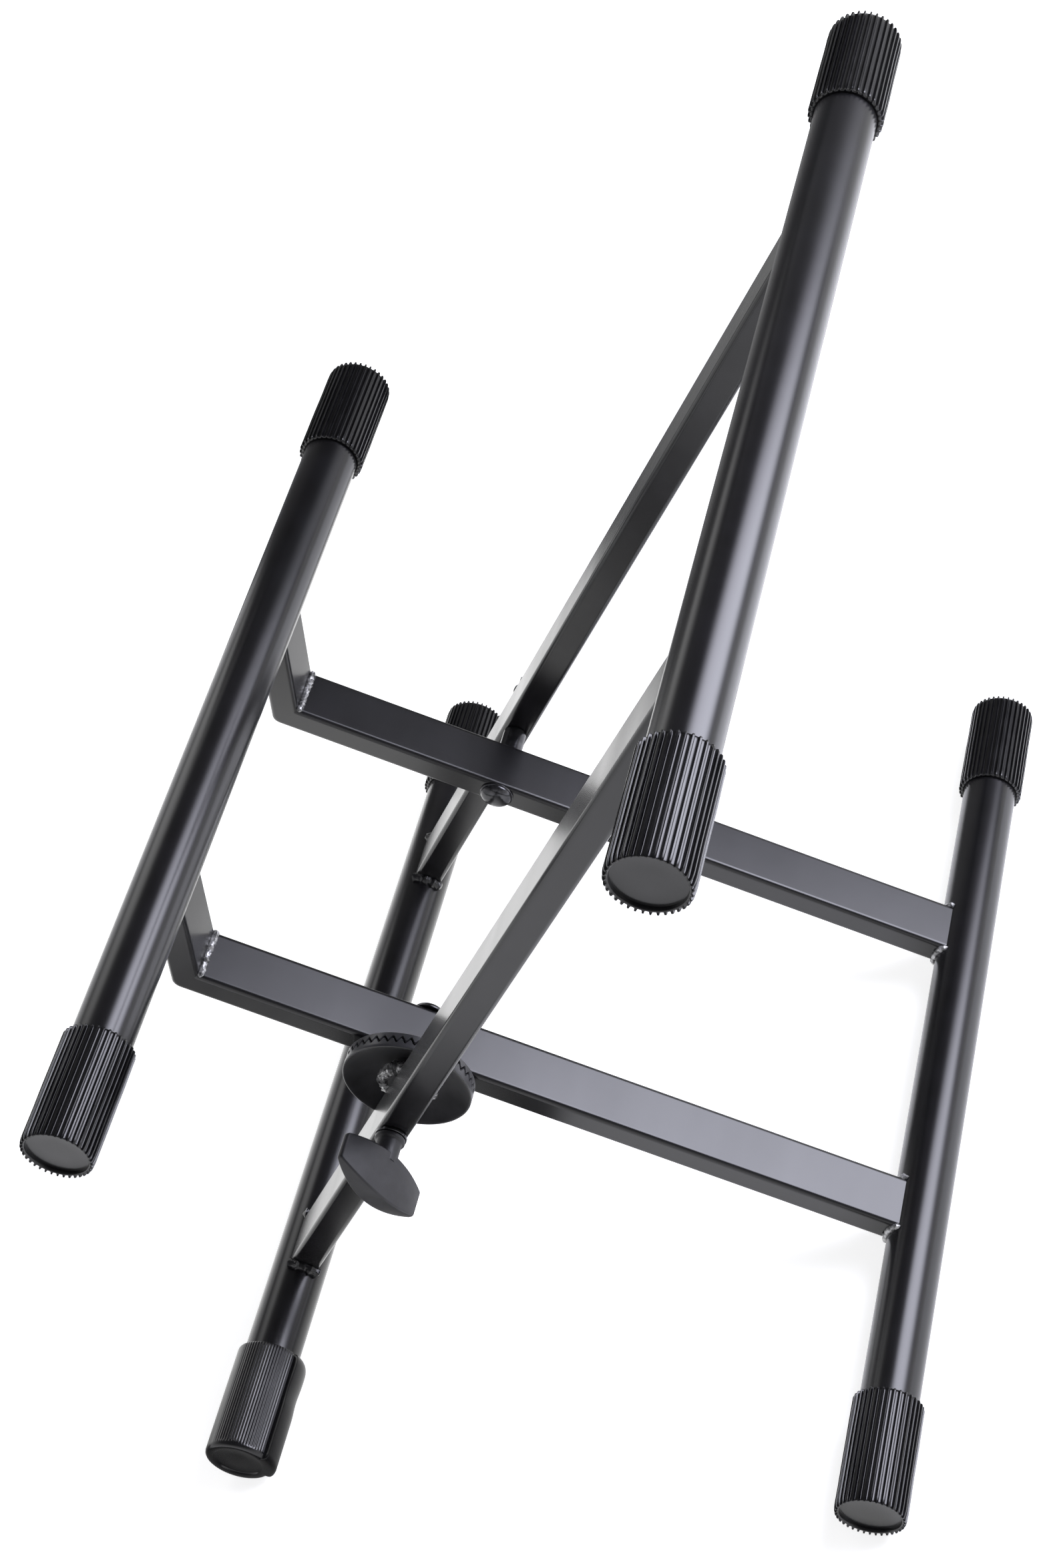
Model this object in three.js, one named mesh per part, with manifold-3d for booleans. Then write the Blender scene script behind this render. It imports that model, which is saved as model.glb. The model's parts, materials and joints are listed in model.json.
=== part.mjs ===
// Folding X-frame amplifier stand in millimetres.
// +X is the side with the clamping knob, -Y is the front where the lip tube is, +Z is up.
// The origin is on the floor, under the middle of the stand.
import * as THREE from 'three';
import { mergeVertices } from 'three/addons/utils/BufferGeometryUtils.js';
import Module from 'manifold-3d';

const wasm = await Module();
wasm.setup();

// Driving dimensions
const GAP = 0.3; // clearance between pieces that touch
const OVERCUT = 1; // how far a cutting tool reaches past the piece it cuts

const STAND_WIDTH = 532; // over the rib ends of the end caps
const TUBE_R = 15;
const TUBE_WALL = 1.5;
const TUBE_SEGMENTS = 40;

const BAR_WIDTH = 30;
const BAR_DEPTH = 16;
const BAR_WALL = 1.5;
const BAR_CORNER_R = 2.5;
const SUPPORT_BAR_X = 92; // centre of a support bar
const BACK_BAR_X = 137; // centre of a back bar

const REAR_REACH = 277; // pivot to rear floor tube, along the support bars
const LIP_REACH = 149.3; // pivot to lip tube, along the support bars
const LIP_RISE = 71.6; // lip tube above the support bars' centre line
const CORNER_REACH = 124; // pivot to the fold that turns the support bars up to the lip tube
const CORNER_ROUNDING = 5; // outside of the fold
const FRONT_REACH = 173; // pivot to front floor tube, along the back bars
const BACK_REACH = 411; // pivot to backrest tube, along the back bars
const PIVOT_RISE = 141.7; // pivot above the axes of the two floor tubes

const CAP_LENGTH = 63;
const CAP_RIB_R = 18.2;
const CAP_GROOVE_R = 16.5;
const CAP_RIBS = 36;
const CAP_RIB_TIP_ANGLE = 1.7; // half angle of a rib's tip, in degrees
const CAP_RIB_ROOT_ANGLE = 2.7; // half angle of a rib's root, in degrees
const CAP_RECESS_R = 15.4;
const CAP_RECESS = 3;
const CAP_END_WALL = 4;

const LEVEL_LUG_R = 20.6;
const LEVEL_LUG_ANGLE = -12; // middle of the lug, up from the rear, in degrees
const LEVEL_LUG_HALF_ANGLE = 33; // in degrees
const LEVEL_RECESS_R = 13;
const LEVEL_ROUNDING = 2;

const BOLT_R = 4;
const HOLE_R = 4.4;
const HEAD_R = 9.3;
const HEAD_HEIGHT = 5;
const CLAMP_BOLT_TIP = 179; // how far out the clamp bolt reaches inside the knob
const PIVOT_BOLT_PROUD = 9.5; // pivot bolt past the outside of the back bar
const SPACER_R = 6.5;
const WASHER_R = 8.2;
const WASHER_THICKNESS = 1.5;
const NUT_CORNER_R = 7.5;
const NUT_HEIGHT = 6.5;
const CROWN_R = 6.3;
const CROWN_HEIGHT = 5.9; // above the hexagon

const DISC_R = 34;
const DISC_ROOT = 8.5; // roots of the fixed teeth, out from the support bar
const DISC_SHEET = 2; // thickness at the dished middle of the fixed disc
const DISC_TEETH = 45;
const DISC_TOOTH_HEIGHT = 1.6;
const DISC_TOOTH_WIDTH = 3.8;
const DISC_TOOTH_INNER_R = 27.8;
const DISC_HUB_R = 10.8;
const SPRING_WELL_R = 8.2;
const SPRING_WELL_END = 9.9; // out from the support bar

const KNOB_LENGTH = 56;
const KNOB_TURN = -65.6; // direction of the wing in the side view, in degrees
const KNOB_SHAFT_R = 6.5;
const KNOB_COLLAR_R = 7.8;
const KNOB_INSERT_R = 5.3;
const KNOB_INSERT_END = 181;

const supportSlope = Math.asin(PIVOT_RISE / REAR_REACH);
const backSlope = Math.asin(PIVOT_RISE / FRONT_REACH);
const ribTipFlat = CAP_RIB_R * Math.cos(THREE.MathUtils.degToRad(CAP_RIB_TIP_ANGLE));
const pivotHeight = PIVOT_RISE + ribTipFlat;
const rearY = REAR_REACH * Math.cos(supportSlope);
const lipY = -(LIP_REACH * Math.cos(supportSlope) - LIP_RISE * Math.sin(supportSlope));
const frontFloorY = -FRONT_REACH * Math.cos(backSlope);
const pivotY = -(rearY + Math.min(lipY, frontFloorY)) / 2;
const barInnerX = BACK_BAR_X - BAR_WIDTH / 2;
const barOuterX = BACK_BAR_X + BAR_WIDTH / 2;
const supportInnerX = SUPPORT_BAR_X - BAR_WIDTH / 2;
const supportOuterX = SUPPORT_BAR_X + BAR_WIDTH / 2;
const springEndX = supportOuterX + SPRING_WELL_END;
const capMouthX = STAND_WIDTH / 2 - CAP_LENGTH;
const tubeEndX = STAND_WIDTH / 2 - CAP_RECESS - CAP_END_WALL - GAP;

// Materials
const steelPaint = new THREE.MeshStandardMaterial({ color: 0x1d1d20, roughness: 0.38, metalness: 0.35 });
const rubber = new THREE.MeshStandardMaterial({ color: 0x161618, roughness: 0.7, metalness: 0 });
const blackSteel = new THREE.MeshStandardMaterial({ color: 0x18181a, roughness: 0.3, metalness: 0.6 });
const zinc = new THREE.MeshStandardMaterial({ color: 0xa9adb0, roughness: 0.35, metalness: 0.9 });
const plastic = new THREE.MeshStandardMaterial({ color: 0x1c1c20, roughness: 0.5, metalness: 0 });
const brass = new THREE.MeshStandardMaterial({ color: 0xb08d45, roughness: 0.35, metalness: 0.9 });

// Solids
function toSolid(geometry) {
  const bare = geometry.clone();
  bare.deleteAttribute('normal');
  bare.deleteAttribute('uv');
  const merged = mergeVertices(bare, 1e-5);
  const kept = [];
  for (let i = 0; i < merged.index.count; i += 3) {
    const corners = [merged.index.getX(i), merged.index.getX(i + 1), merged.index.getX(i + 2)];
    if (new Set(corners).size === 3) kept.push(...corners);
  }
  const mesh = new wasm.Mesh({
    numProp: 3,
    vertProperties: new Float32Array(merged.attributes.position.array),
    triVerts: new Uint32Array(kept),
  });
  return new wasm.Manifold(mesh);
}

function toGeometry(solid) {
  const mesh = solid.getMesh();
  const geometry = new THREE.BufferGeometry();
  geometry.setAttribute('position', new THREE.BufferAttribute(mesh.vertProperties, 3));
  geometry.setIndex(new THREE.BufferAttribute(mesh.triVerts, 1));
  geometry.computeVertexNormals();
  return geometry;
}

function addPiece(group, name, solid, material) {
  const mesh = new THREE.Mesh(toGeometry(solid), material);
  mesh.name = name;
  group.add(mesh);
  return mesh;
}

// A body turned about the X axis from [radius, x] points, listed around its section
function turned(points, segments = TUBE_SEGMENTS) {
  const profile = points.map(([radius, x]) => new THREE.Vector2(radius, x));
  if (points[0][0] > 0) profile.push(profile[0].clone());
  return toSolid(new THREE.LatheGeometry(profile, segments).rotateZ(-Math.PI / 2));
}

function rod(radius, fromX, toX, segments = TUBE_SEGMENTS) {
  return turned([[0, fromX], [radius, fromX], [radius, toX], [0, toX]], segments);
}

function ring(innerR, outerR, fromX, toX, segments = TUBE_SEGMENTS) {
  return turned([[innerR, fromX], [outerR, fromX], [outerR, toX], [innerR, toX]], segments);
}

// A shape drawn in the YZ plane, extruded from one X to another
function sidePlate(shape, fromX, toX) {
  const geometry = new THREE.ExtrudeGeometry(shape, { depth: toX - fromX, bevelEnabled: false });
  const turn = new THREE.Matrix4().makeBasis(
    new THREE.Vector3(0, 1, 0),
    new THREE.Vector3(0, 0, 1),
    new THREE.Vector3(1, 0, 0),
  );
  return toSolid(geometry.applyMatrix4(turn).translate(fromX, 0, 0));
}

function roundedRectangle(width, depth, radius) {
  const shape = new THREE.Shape();
  const x = width / 2;
  const y = depth / 2;
  shape.moveTo(-x + radius, -y);
  shape.lineTo(x - radius, -y);
  shape.absarc(x - radius, -y + radius, radius, -Math.PI / 2, 0, false);
  shape.absarc(x - radius, y - radius, radius, 0, Math.PI / 2, false);
  shape.absarc(-x + radius, y - radius, radius, Math.PI / 2, Math.PI, false);
  shape.absarc(-x + radius, -y + radius, radius, Math.PI, Math.PI * 1.5, false);
  return shape;
}

// A rectangular tube centred on x, running along +Y from one length to another
function rectangularTube(x, fromY, toY) {
  const section = roundedRectangle(BAR_WIDTH, BAR_DEPTH, BAR_CORNER_R);
  const inside = roundedRectangle(
    BAR_WIDTH - 2 * BAR_WALL,
    BAR_DEPTH - 2 * BAR_WALL,
    BAR_CORNER_R - BAR_WALL,
  );
  section.holes.push(inside);
  const options = { depth: toY - fromY, bevelEnabled: false, curveSegments: 4 };
  const geometry = new THREE.ExtrudeGeometry(section, options).rotateX(-Math.PI / 2);
  return toSolid(geometry.translate(x, fromY, 0));
}

function moved(solid, y, z) {
  return solid.translate([0, y, z]);
}

// Frame pieces
function roundTube() {
  return ring(TUBE_R - TUBE_WALL, TUBE_R, -tubeEndX, tubeEndX);
}

function copeTool(y, z) {
  const reach = BACK_BAR_X + BAR_WIDTH;
  return moved(rod(TUBE_R + GAP, -reach, reach), y, z);
}

function pivotHole() {
  const reach = BACK_BAR_X + BAR_WIDTH;
  return rod(HOLE_R, -reach, reach, 24);
}

const armAngle = Math.atan2(LIP_RISE, CORNER_REACH - LIP_REACH);
const armLength = Math.hypot(LIP_RISE, LIP_REACH - CORNER_REACH);
const halfFold = armAngle / 2;

// The sharp edge outside the fold, in a frame at the fold with the mitre plane at z = 0
function cornerShaving() {
  const centreY = (CORNER_ROUNDING - BAR_DEPTH / 2) / Math.sin(halfFold);
  const spread = Math.PI / 2 - halfFold;
  const shape = new THREE.Shape();
  shape.absarc(centreY, 0, CORNER_ROUNDING, Math.PI - spread, Math.PI + spread, false);
  shape.absarc(centreY, 0, 2 * CORNER_ROUNDING, Math.PI + spread, Math.PI - spread, true);
  shape.closePath();
  return sidePlate(shape, -BACK_BAR_X, BACK_BAR_X);
}

// One length of tube from the rear floor tube, notched and folded up to the lip tube
function supportBar(x) {
  const fold = THREE.MathUtils.radToDeg(halfFold);
  function leg(length) {
    return rectangularTube(x, -BAR_DEPTH, length).rotate([-fold, 0, 0]).trimByPlane([0, 0, -1], 0);
  }
  const bar = leg(CORNER_REACH + REAR_REACH - TUBE_R / 2);
  const arm = leg(armLength - TUBE_R / 2).mirror([0, 0, 1]);
  const folded = bar.add(arm).subtract(cornerShaving()).rotate([fold, 0, 0]);
  return moved(folded, -CORNER_REACH, 0)
    .subtract(copeTool(REAR_REACH, 0))
    .subtract(copeTool(-LIP_REACH, LIP_RISE))
    .subtract(pivotHole());
}

function backBar(x) {
  return rectangularTube(x, -FRONT_REACH + TUBE_R / 2, BACK_REACH - TUBE_R / 2)
    .subtract(copeTool(-FRONT_REACH, 0))
    .subtract(copeTool(BACK_REACH, 0))
    .subtract(pivotHole());
}

// End caps, drawn on the +X end
function ribbedOutline() {
  const points = [];
  for (let i = 0; i < CAP_RIBS; i += 1) {
    const middle = (360 / CAP_RIBS) * i;
    const corners = [
      [CAP_GROOVE_R, middle - CAP_RIB_ROOT_ANGLE],
      [CAP_RIB_R, middle - CAP_RIB_TIP_ANGLE],
      [CAP_RIB_R, middle + CAP_RIB_TIP_ANGLE],
      [CAP_GROOVE_R, middle + CAP_RIB_ROOT_ANGLE],
    ];
    for (const [radius, degrees] of corners) {
      const angle = THREE.MathUtils.degToRad(degrees);
      points.push(new THREE.Vector2(radius * Math.cos(angle), radius * Math.sin(angle)));
    }
  }
  return new THREE.Shape(points);
}

function capBore() {
  return rod(TUBE_R + GAP, capMouthX - OVERCUT, tubeEndX + GAP);
}

function ribbedCap() {
  const endX = STAND_WIDTH / 2;
  return sidePlate(ribbedOutline(), capMouthX, endX)
    .subtract(rod(CAP_RECESS_R, endX - CAP_RECESS, endX + OVERCUT, CAP_RIBS))
    .subtract(capBore());
}

function roundEndedRod(radius, rounding) {
  const endX = STAND_WIDTH / 2;
  return turned([
    [0, capMouthX],
    [radius - rounding / 3, capMouthX],
    [radius, capMouthX + rounding / 3],
    [radius, endX - rounding],
    [radius - rounding / 3, endX - rounding / 3],
    [radius - rounding, endX],
    [0, endX],
  ], 48);
}

function levellingCap() {
  const endX = STAND_WIDTH / 2;
  const middle = THREE.MathUtils.degToRad(LEVEL_LUG_ANGLE);
  const half = THREE.MathUtils.degToRad(LEVEL_LUG_HALF_ANGLE);
  const reach = 2 * LEVEL_LUG_R;
  const sector = new THREE.Shape();
  sector.moveTo(0, 0);
  sector.lineTo(reach * Math.cos(middle - half), reach * Math.sin(middle - half));
  sector.lineTo(reach * Math.cos(middle + half), reach * Math.sin(middle + half));
  sector.closePath();
  const block = sidePlate(sector, capMouthX, endX);
  const lug = roundEndedRod(LEVEL_LUG_R, LEVEL_ROUNDING * 2).intersect(block);
  return roundEndedRod(ribTipFlat, LEVEL_ROUNDING)
    .add(lug)
    .subtract(rod(LEVEL_RECESS_R, endX - CAP_RECESS, endX + OVERCUT))
    .subtract(capBore());
}

// Pivot pieces
function mushroomBolt(headX, tipX) {
  const lean = Math.sign(tipX - headX);
  const points = [
    [0, headX - lean * HEAD_HEIGHT],
    [HEAD_R * 0.45, headX - lean * HEAD_HEIGHT * 0.9],
    [HEAD_R * 0.8, headX - lean * HEAD_HEIGHT * 0.6],
    [HEAD_R, headX - lean * HEAD_HEIGHT * 0.12],
    [HEAD_R, headX],
    [BOLT_R, headX],
    [BOLT_R, tipX - lean],
    [BOLT_R - 1, tipX],
    [0, tipX],
  ];
  return turned(lean > 0 ? points : points.reverse(), 32);
}

// Radial teeth between two radii, from one height towards another along X
function faceTeeth(rootX, tipX, startAngle) {
  const tooth = new THREE.Shape([
    new THREE.Vector2(-DISC_TOOTH_WIDTH / 2, rootX),
    new THREE.Vector2(DISC_TOOTH_WIDTH / 2, rootX),
    new THREE.Vector2(DISC_TOOTH_WIDTH / 8, tipX),
    new THREE.Vector2(-DISC_TOOTH_WIDTH / 8, tipX),
  ]);
  const options = { depth: DISC_R + OVERCUT - DISC_TOOTH_INNER_R, bevelEnabled: false };
  const geometry = new THREE.ExtrudeGeometry(tooth, options).translate(0, 0, DISC_TOOTH_INNER_R);
  const stand = new THREE.Matrix4().makeBasis(
    new THREE.Vector3(0, 1, 0),
    new THREE.Vector3(1, 0, 0),
    new THREE.Vector3(0, 0, -1),
  );
  const single = toSolid(geometry.applyMatrix4(stand));
  const teeth = [];
  for (let i = 0; i < DISC_TEETH; i += 1) {
    teeth.push(single.rotate([startAngle + (360 / DISC_TEETH) * i, 0, 0]));
  }
  const near = Math.min(rootX, tipX);
  const far = Math.max(rootX, tipX);
  return wasm.Manifold.union(teeth).intersect(rod(DISC_R, near - 0.05, far + 0.05, DISC_TEETH));
}

function fixedDisc() {
  const seat = supportOuterX + GAP;
  const toothRoot = supportOuterX + DISC_ROOT;
  const dish = turned([
    [HOLE_R, seat],
    [16, seat],
    [23, seat + 2.3],
    [28.5, toothRoot - 2.2],
    [DISC_R, toothRoot - 2.2],
    [DISC_R, toothRoot],
    [DISC_TOOTH_INNER_R - 0.4, toothRoot],
    [22, seat + 3.9],
    [15, seat + DISC_SHEET],
    [HOLE_R, seat + DISC_SHEET],
  ], DISC_TEETH);
  return dish.add(faceTeeth(toothRoot - 0.2, toothRoot + DISC_TOOTH_HEIGHT, 0));
}

function movingDisc() {
  const floor = supportOuterX + GAP + DISC_SHEET + 0.8;
  const seat = barInnerX - GAP;
  const toothRoot = supportOuterX + DISC_ROOT + 2 * DISC_TOOTH_HEIGHT + GAP;
  const dish = turned([
    [HOLE_R, springEndX],
    [SPRING_WELL_R, springEndX],
    [SPRING_WELL_R, floor],
    [16, floor + 0.2],
    [22, floor + 2.5],
    [DISC_TOOTH_INNER_R - 0.6, toothRoot],
    [DISC_R, toothRoot],
    [DISC_R, seat],
    [DISC_R - 1.2, seat],
    [28.6, toothRoot + 1.3],
    [22, floor + 4.2],
    [16, floor + 1.7],
    [DISC_HUB_R, floor + 1.6],
    [DISC_HUB_R, seat],
    [HOLE_R, seat],
  ], DISC_TEETH);
  return dish.add(faceTeeth(toothRoot + 0.2, toothRoot - DISC_TOOTH_HEIGHT, 180 / DISC_TEETH));
}

function releaseSpring() {
  const wireR = 0.6;
  const coilR = 6.4;
  const turns = 4;
  const fromX = supportOuterX + GAP + DISC_SHEET + GAP + wireR;
  const toX = springEndX - GAP - wireR;
  class Helix extends THREE.Curve {
    getPoint(t) {
      const angle = 2 * Math.PI * turns * t;
      const x = fromX + (toX - fromX) * t;
      return new THREE.Vector3(x, coilR * Math.cos(angle), coilR * Math.sin(angle));
    }
  }
  const wire = new THREE.Shape();
  wire.absarc(0, 0, wireR, 0, 2 * Math.PI, false);
  const options = { steps: 40, curveSegments: 3, extrudePath: new Helix(), bevelEnabled: false };
  return toSolid(new THREE.ExtrudeGeometry(wire, options));
}

const washerX = barOuterX + GAP;
const knobBaseX = washerX + WASHER_THICKNESS + GAP;
const wingEndInnerX = 169;
const wingEndOuterX = 183.4;
const wingInnerX = 164.8;
const wingOuterX = 190.4;

function wingKnob() {
  const half = KNOB_LENGTH / 2;
  const endHalf = 1.6;
  const middleHalf = 6.2;
  const plan = new THREE.Shape();
  plan.moveTo(-half, -endHalf);
  plan.quadraticCurveTo(0, -2 * middleHalf + endHalf, half, -endHalf);
  plan.lineTo(half, endHalf);
  plan.quadraticCurveTo(0, 2 * middleHalf - endHalf, -half, endHalf);
  plan.closePath();
  const side = new THREE.Shape();
  side.moveTo(wingEndInnerX, -half);
  side.quadraticCurveTo(2 * wingInnerX - wingEndInnerX, 0, wingEndInnerX, half);
  side.lineTo(wingEndOuterX, half);
  side.quadraticCurveTo(2 * wingOuterX - wingEndOuterX, 0, wingEndOuterX, -half);
  side.closePath();
  const thickness = 4 * middleHalf;
  const options = { depth: thickness, bevelEnabled: false, curveSegments: 16 };
  const outline = new THREE.ExtrudeGeometry(side, options).translate(0, 0, -thickness / 2);
  const wing = sidePlate(plan, wingInnerX - OVERCUT, wingOuterX + OVERCUT).intersect(toSolid(outline));
  const stem = turned([
    [0, knobBaseX],
    [KNOB_COLLAR_R, knobBaseX],
    [KNOB_COLLAR_R, knobBaseX + 2.2],
    [KNOB_SHAFT_R, knobBaseX + 2.8],
    [KNOB_SHAFT_R, wingInnerX + 6],
    [0, wingInnerX + 6],
  ], 40);
  return wing
    .add(stem)
    .subtract(rod(KNOB_INSERT_R + GAP, knobBaseX - OVERCUT, KNOB_INSERT_END + OVERCUT, 32))
    .rotate([KNOB_TURN, 0, 0]);
}

function leftNut() {
  const topX = knobBaseX + NUT_HEIGHT;
  const hexagon = new THREE.Shape();
  for (let i = 0; i < 6; i += 1) {
    const angle = (Math.PI / 3) * i;
    const corner = [NUT_CORNER_R * Math.cos(angle), NUT_CORNER_R * Math.sin(angle)];
    if (i === 0) hexagon.moveTo(...corner);
    else hexagon.lineTo(...corner);
  }
  hexagon.closePath();
  const crown = turned([
    [0, topX - 0.5],
    [CROWN_R, topX - 0.5],
    [CROWN_R, topX + CROWN_HEIGHT * 0.25],
    [CROWN_R * 0.8, topX + CROWN_HEIGHT * 0.68],
    [CROWN_R * 0.4, topX + CROWN_HEIGHT * 0.93],
    [0, topX + CROWN_HEIGHT],
  ], 24);
  const bore = rod(BOLT_R + GAP, knobBaseX - OVERCUT, barOuterX + PIVOT_BOLT_PROUD + OVERCUT, 24);
  return sidePlate(hexagon, knobBaseX, topX).add(crown).subtract(bore).mirror([1, 0, 0]);
}

// Assembly
const stand = new THREE.Group();
stand.name = 'amplifier_stand';

const supportFrame = new THREE.Group();
supportFrame.position.set(0, pivotY, pivotHeight);
supportFrame.rotation.x = -supportSlope;
stand.add(supportFrame);

const backFrame = new THREE.Group();
backFrame.position.set(0, pivotY, pivotHeight);
backFrame.rotation.x = backSlope;
stand.add(backFrame);

const pivot = new THREE.Group();
pivot.position.set(0, pivotY, pivotHeight);
stand.add(pivot);

function tubeStation(parent, y, z) {
  const station = new THREE.Group();
  station.position.set(0, y, z);
  station.rotation.x = -parent.rotation.x;
  parent.add(station);
  return station;
}

const rearFloor = tubeStation(supportFrame, REAR_REACH, 0);
const lip = tubeStation(supportFrame, -LIP_REACH, LIP_RISE);
const frontFloor = tubeStation(backFrame, -FRONT_REACH, 0);
const backrest = tubeStation(backFrame, BACK_REACH, 0);

addPiece(rearFloor, 'rear_floor_tube', roundTube(), steelPaint);
addPiece(lip, 'lip_tube', roundTube(), steelPaint);
addPiece(frontFloor, 'front_floor_tube', roundTube(), steelPaint);
addPiece(backrest, 'backrest_tube', roundTube(), steelPaint);

const sides = [['right', 1], ['left', -1]];
for (const [side, sign] of sides) {
  addPiece(supportFrame, `support_bar_${side}`, supportBar(sign * SUPPORT_BAR_X), steelPaint);
  addPiece(backFrame, `back_bar_${side}`, backBar(sign * BACK_BAR_X), steelPaint);
}

const cap = ribbedCap();
const stations = [['rear_floor', rearFloor], ['lip', lip], ['front_floor', frontFloor], ['backrest', backrest]];
for (const [place, station] of stations) {
  for (const [side, sign] of sides) {
    const levelling = place === 'front_floor' && side === 'right';
    if (levelling) continue;
    const solid = sign > 0 ? cap : cap.mirror([1, 0, 0]);
    addPiece(station, `${place}_cap_${side}`, solid, rubber);
  }
}
addPiece(frontFloor, 'levelling_cap', levellingCap(), rubber);

addPiece(pivot, 'ratchet_disc_fixed', fixedDisc(), steelPaint);
addPiece(pivot, 'ratchet_disc_moving', movingDisc(), steelPaint);
addPiece(pivot, 'release_spring', releaseSpring(), zinc);
addPiece(pivot, 'clamp_bolt', mushroomBolt(supportInnerX - GAP, CLAMP_BOLT_TIP), blackSteel);
const washer = ring(HOLE_R, WASHER_R, washerX, washerX + WASHER_THICKNESS, 32);
addPiece(pivot, 'knob_washer', washer, blackSteel);
addPiece(pivot, 'wing_knob', wingKnob(), plastic);
const insert = ring(BOLT_R + GAP, KNOB_INSERT_R, knobBaseX + GAP, KNOB_INSERT_END, 32);
addPiece(pivot, 'knob_insert', insert, brass);
const pivotBolt = mushroomBolt(-supportInnerX + GAP, -barOuterX - PIVOT_BOLT_PROUD);
addPiece(pivot, 'pivot_bolt', pivotBolt, blackSteel);
const spacer = ring(HOLE_R, SPACER_R, -barInnerX + GAP, -supportOuterX - GAP, 32);
addPiece(pivot, 'pivot_spacer', spacer, blackSteel);
addPiece(pivot, 'pivot_washer', washer.mirror([1, 0, 0]), blackSteel);
addPiece(pivot, 'pivot_nut', leftNut(), blackSteel);

export default stand;
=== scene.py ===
"""Folding amplifier stand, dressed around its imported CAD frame.

The frame is in metres: +X is the side with the wing knob, -Y the front with the lip tube, +Z up.
Pieces are drawn in millimetres in the local frames of the two crossing rails, then placed in metres.
"""
import json
import math

import bmesh
import bpy
from mathutils import Matrix, Vector


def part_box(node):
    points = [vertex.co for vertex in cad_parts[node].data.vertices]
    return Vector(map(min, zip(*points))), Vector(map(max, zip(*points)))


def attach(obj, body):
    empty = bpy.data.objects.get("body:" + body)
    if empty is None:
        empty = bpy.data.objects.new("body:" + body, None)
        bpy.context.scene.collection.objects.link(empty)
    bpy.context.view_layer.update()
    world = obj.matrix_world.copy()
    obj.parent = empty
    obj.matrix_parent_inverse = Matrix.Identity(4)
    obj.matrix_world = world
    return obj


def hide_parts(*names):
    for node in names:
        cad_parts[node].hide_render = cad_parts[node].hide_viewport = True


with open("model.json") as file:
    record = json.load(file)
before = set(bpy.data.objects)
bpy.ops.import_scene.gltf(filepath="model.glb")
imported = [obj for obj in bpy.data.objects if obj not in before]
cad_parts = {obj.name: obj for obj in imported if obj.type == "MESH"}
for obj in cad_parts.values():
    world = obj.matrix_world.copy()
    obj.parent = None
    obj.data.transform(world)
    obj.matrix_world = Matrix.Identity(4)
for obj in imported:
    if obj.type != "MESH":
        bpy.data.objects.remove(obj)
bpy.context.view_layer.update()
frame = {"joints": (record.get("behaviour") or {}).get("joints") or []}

MM = 0.001
TURN = 2 * math.pi


# ---------------------------------------------------------------- sizes taken from the frame
def box_mm(node):
    low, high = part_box(node)
    return low / MM, high / MM


def centre_line(node):
    """The middle of a node in the YZ plane."""
    low, high = box_mm(node)
    return Vector((0, (low.y + high.y) / 2, (low.z + high.z) / 2))


joints = {joint["name"]: joint for joint in frame["joints"]}
PIVOT = Vector((0, joints["frame_tilt"]["pos_m"][1], joints["frame_tilt"]["pos_m"][2])) / MM
REAR_FLOOR = centre_line("rear_floor_tube")
LIP = centre_line("lip_tube")
FRONT_FLOOR = centre_line("front_floor_tube")
BACKREST = centre_line("backrest_tube")

TUBE_END = box_mm("rear_floor_tube")[1].x
TUBE_R = (box_mm("rear_floor_tube")[1].z - box_mm("rear_floor_tube")[0].z) / 2
CAP_END = box_mm("rear_floor_cap_right")[1].x
CAP_MOUTH = box_mm("rear_floor_cap_right")[0].x
SUPPORT_INNER = box_mm("support_bar_right")[0].x
SUPPORT_OUTER = box_mm("support_bar_right")[1].x
BACK_INNER = box_mm("back_bar_right")[0].x
BACK_OUTER = box_mm("back_bar_right")[1].x
BAR_WIDTH = SUPPORT_OUTER - SUPPORT_INNER
SUPPORT_X = (SUPPORT_INNER + SUPPORT_OUTER) / 2
BACK_X = (BACK_INNER + BACK_OUTER) / 2
DISC_R = (box_mm("ratchet_disc_moving")[1].y - box_mm("ratchet_disc_moving")[0].y) / 2
HEAD_R = (box_mm("clamp_bolt")[1].y - box_mm("clamp_bolt")[0].y) / 2
HEAD_HEIGHT = SUPPORT_INNER - box_mm("clamp_bolt")[0].x
BOLT_TIP = box_mm("clamp_bolt")[1].x

# Sizes of the finish
BAR_DEPTH = 16
BAR_CORNER_R = 2.5
BEND_R = 5  # outside of the folded corner under the lip tube
CORNER_REACH = 124  # pivot to the folded corner
COPE_RUN = 20  # tube's centre to the nearest square section of a bar
FOLD_RUN = 6  # inside of the fold to the nearest square section of a bar
TUBE_WALL = 1.5
BOLT_R = 4
HOLE_R = 4.4
SEAT = 0.05  # clearance that keeps two seated surfaces apart

RIBS = 36
RIB_R = 18.15
GROOVE_R = 16.5
RIB_HALF_ANGLE = 1.75  # in degrees, at half height
RECESS_R = 15.4
RECESS_DEPTH = 3.0

LEVEL_R = 18.15
LUG_R = 20.6
LUG_LOW = -45  # the lug's two sides, in degrees
LUG_HIGH = 20.8
SLOT_WIDTH = 6.5  # in degrees
LEVEL_ROUNDING = 2.6  # length of the rounded end
LEVEL_RECESS = 1.5

TEETH = 45
STEPS_PER_TOOTH = 8
TOOTH_INNER_R = 31
TOOTH_HEIGHT = 2.6
ROOT_GAP = 1.3  # tips of one disc's teeth to the roots of the other's
SPRING_WELL_R = 8.2

WELD_SPREAD = 38  # half the angle a bead covers round its tube, in degrees
HUB_WELD_R = 12.6
NUT_HEIGHT = 6.5


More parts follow.
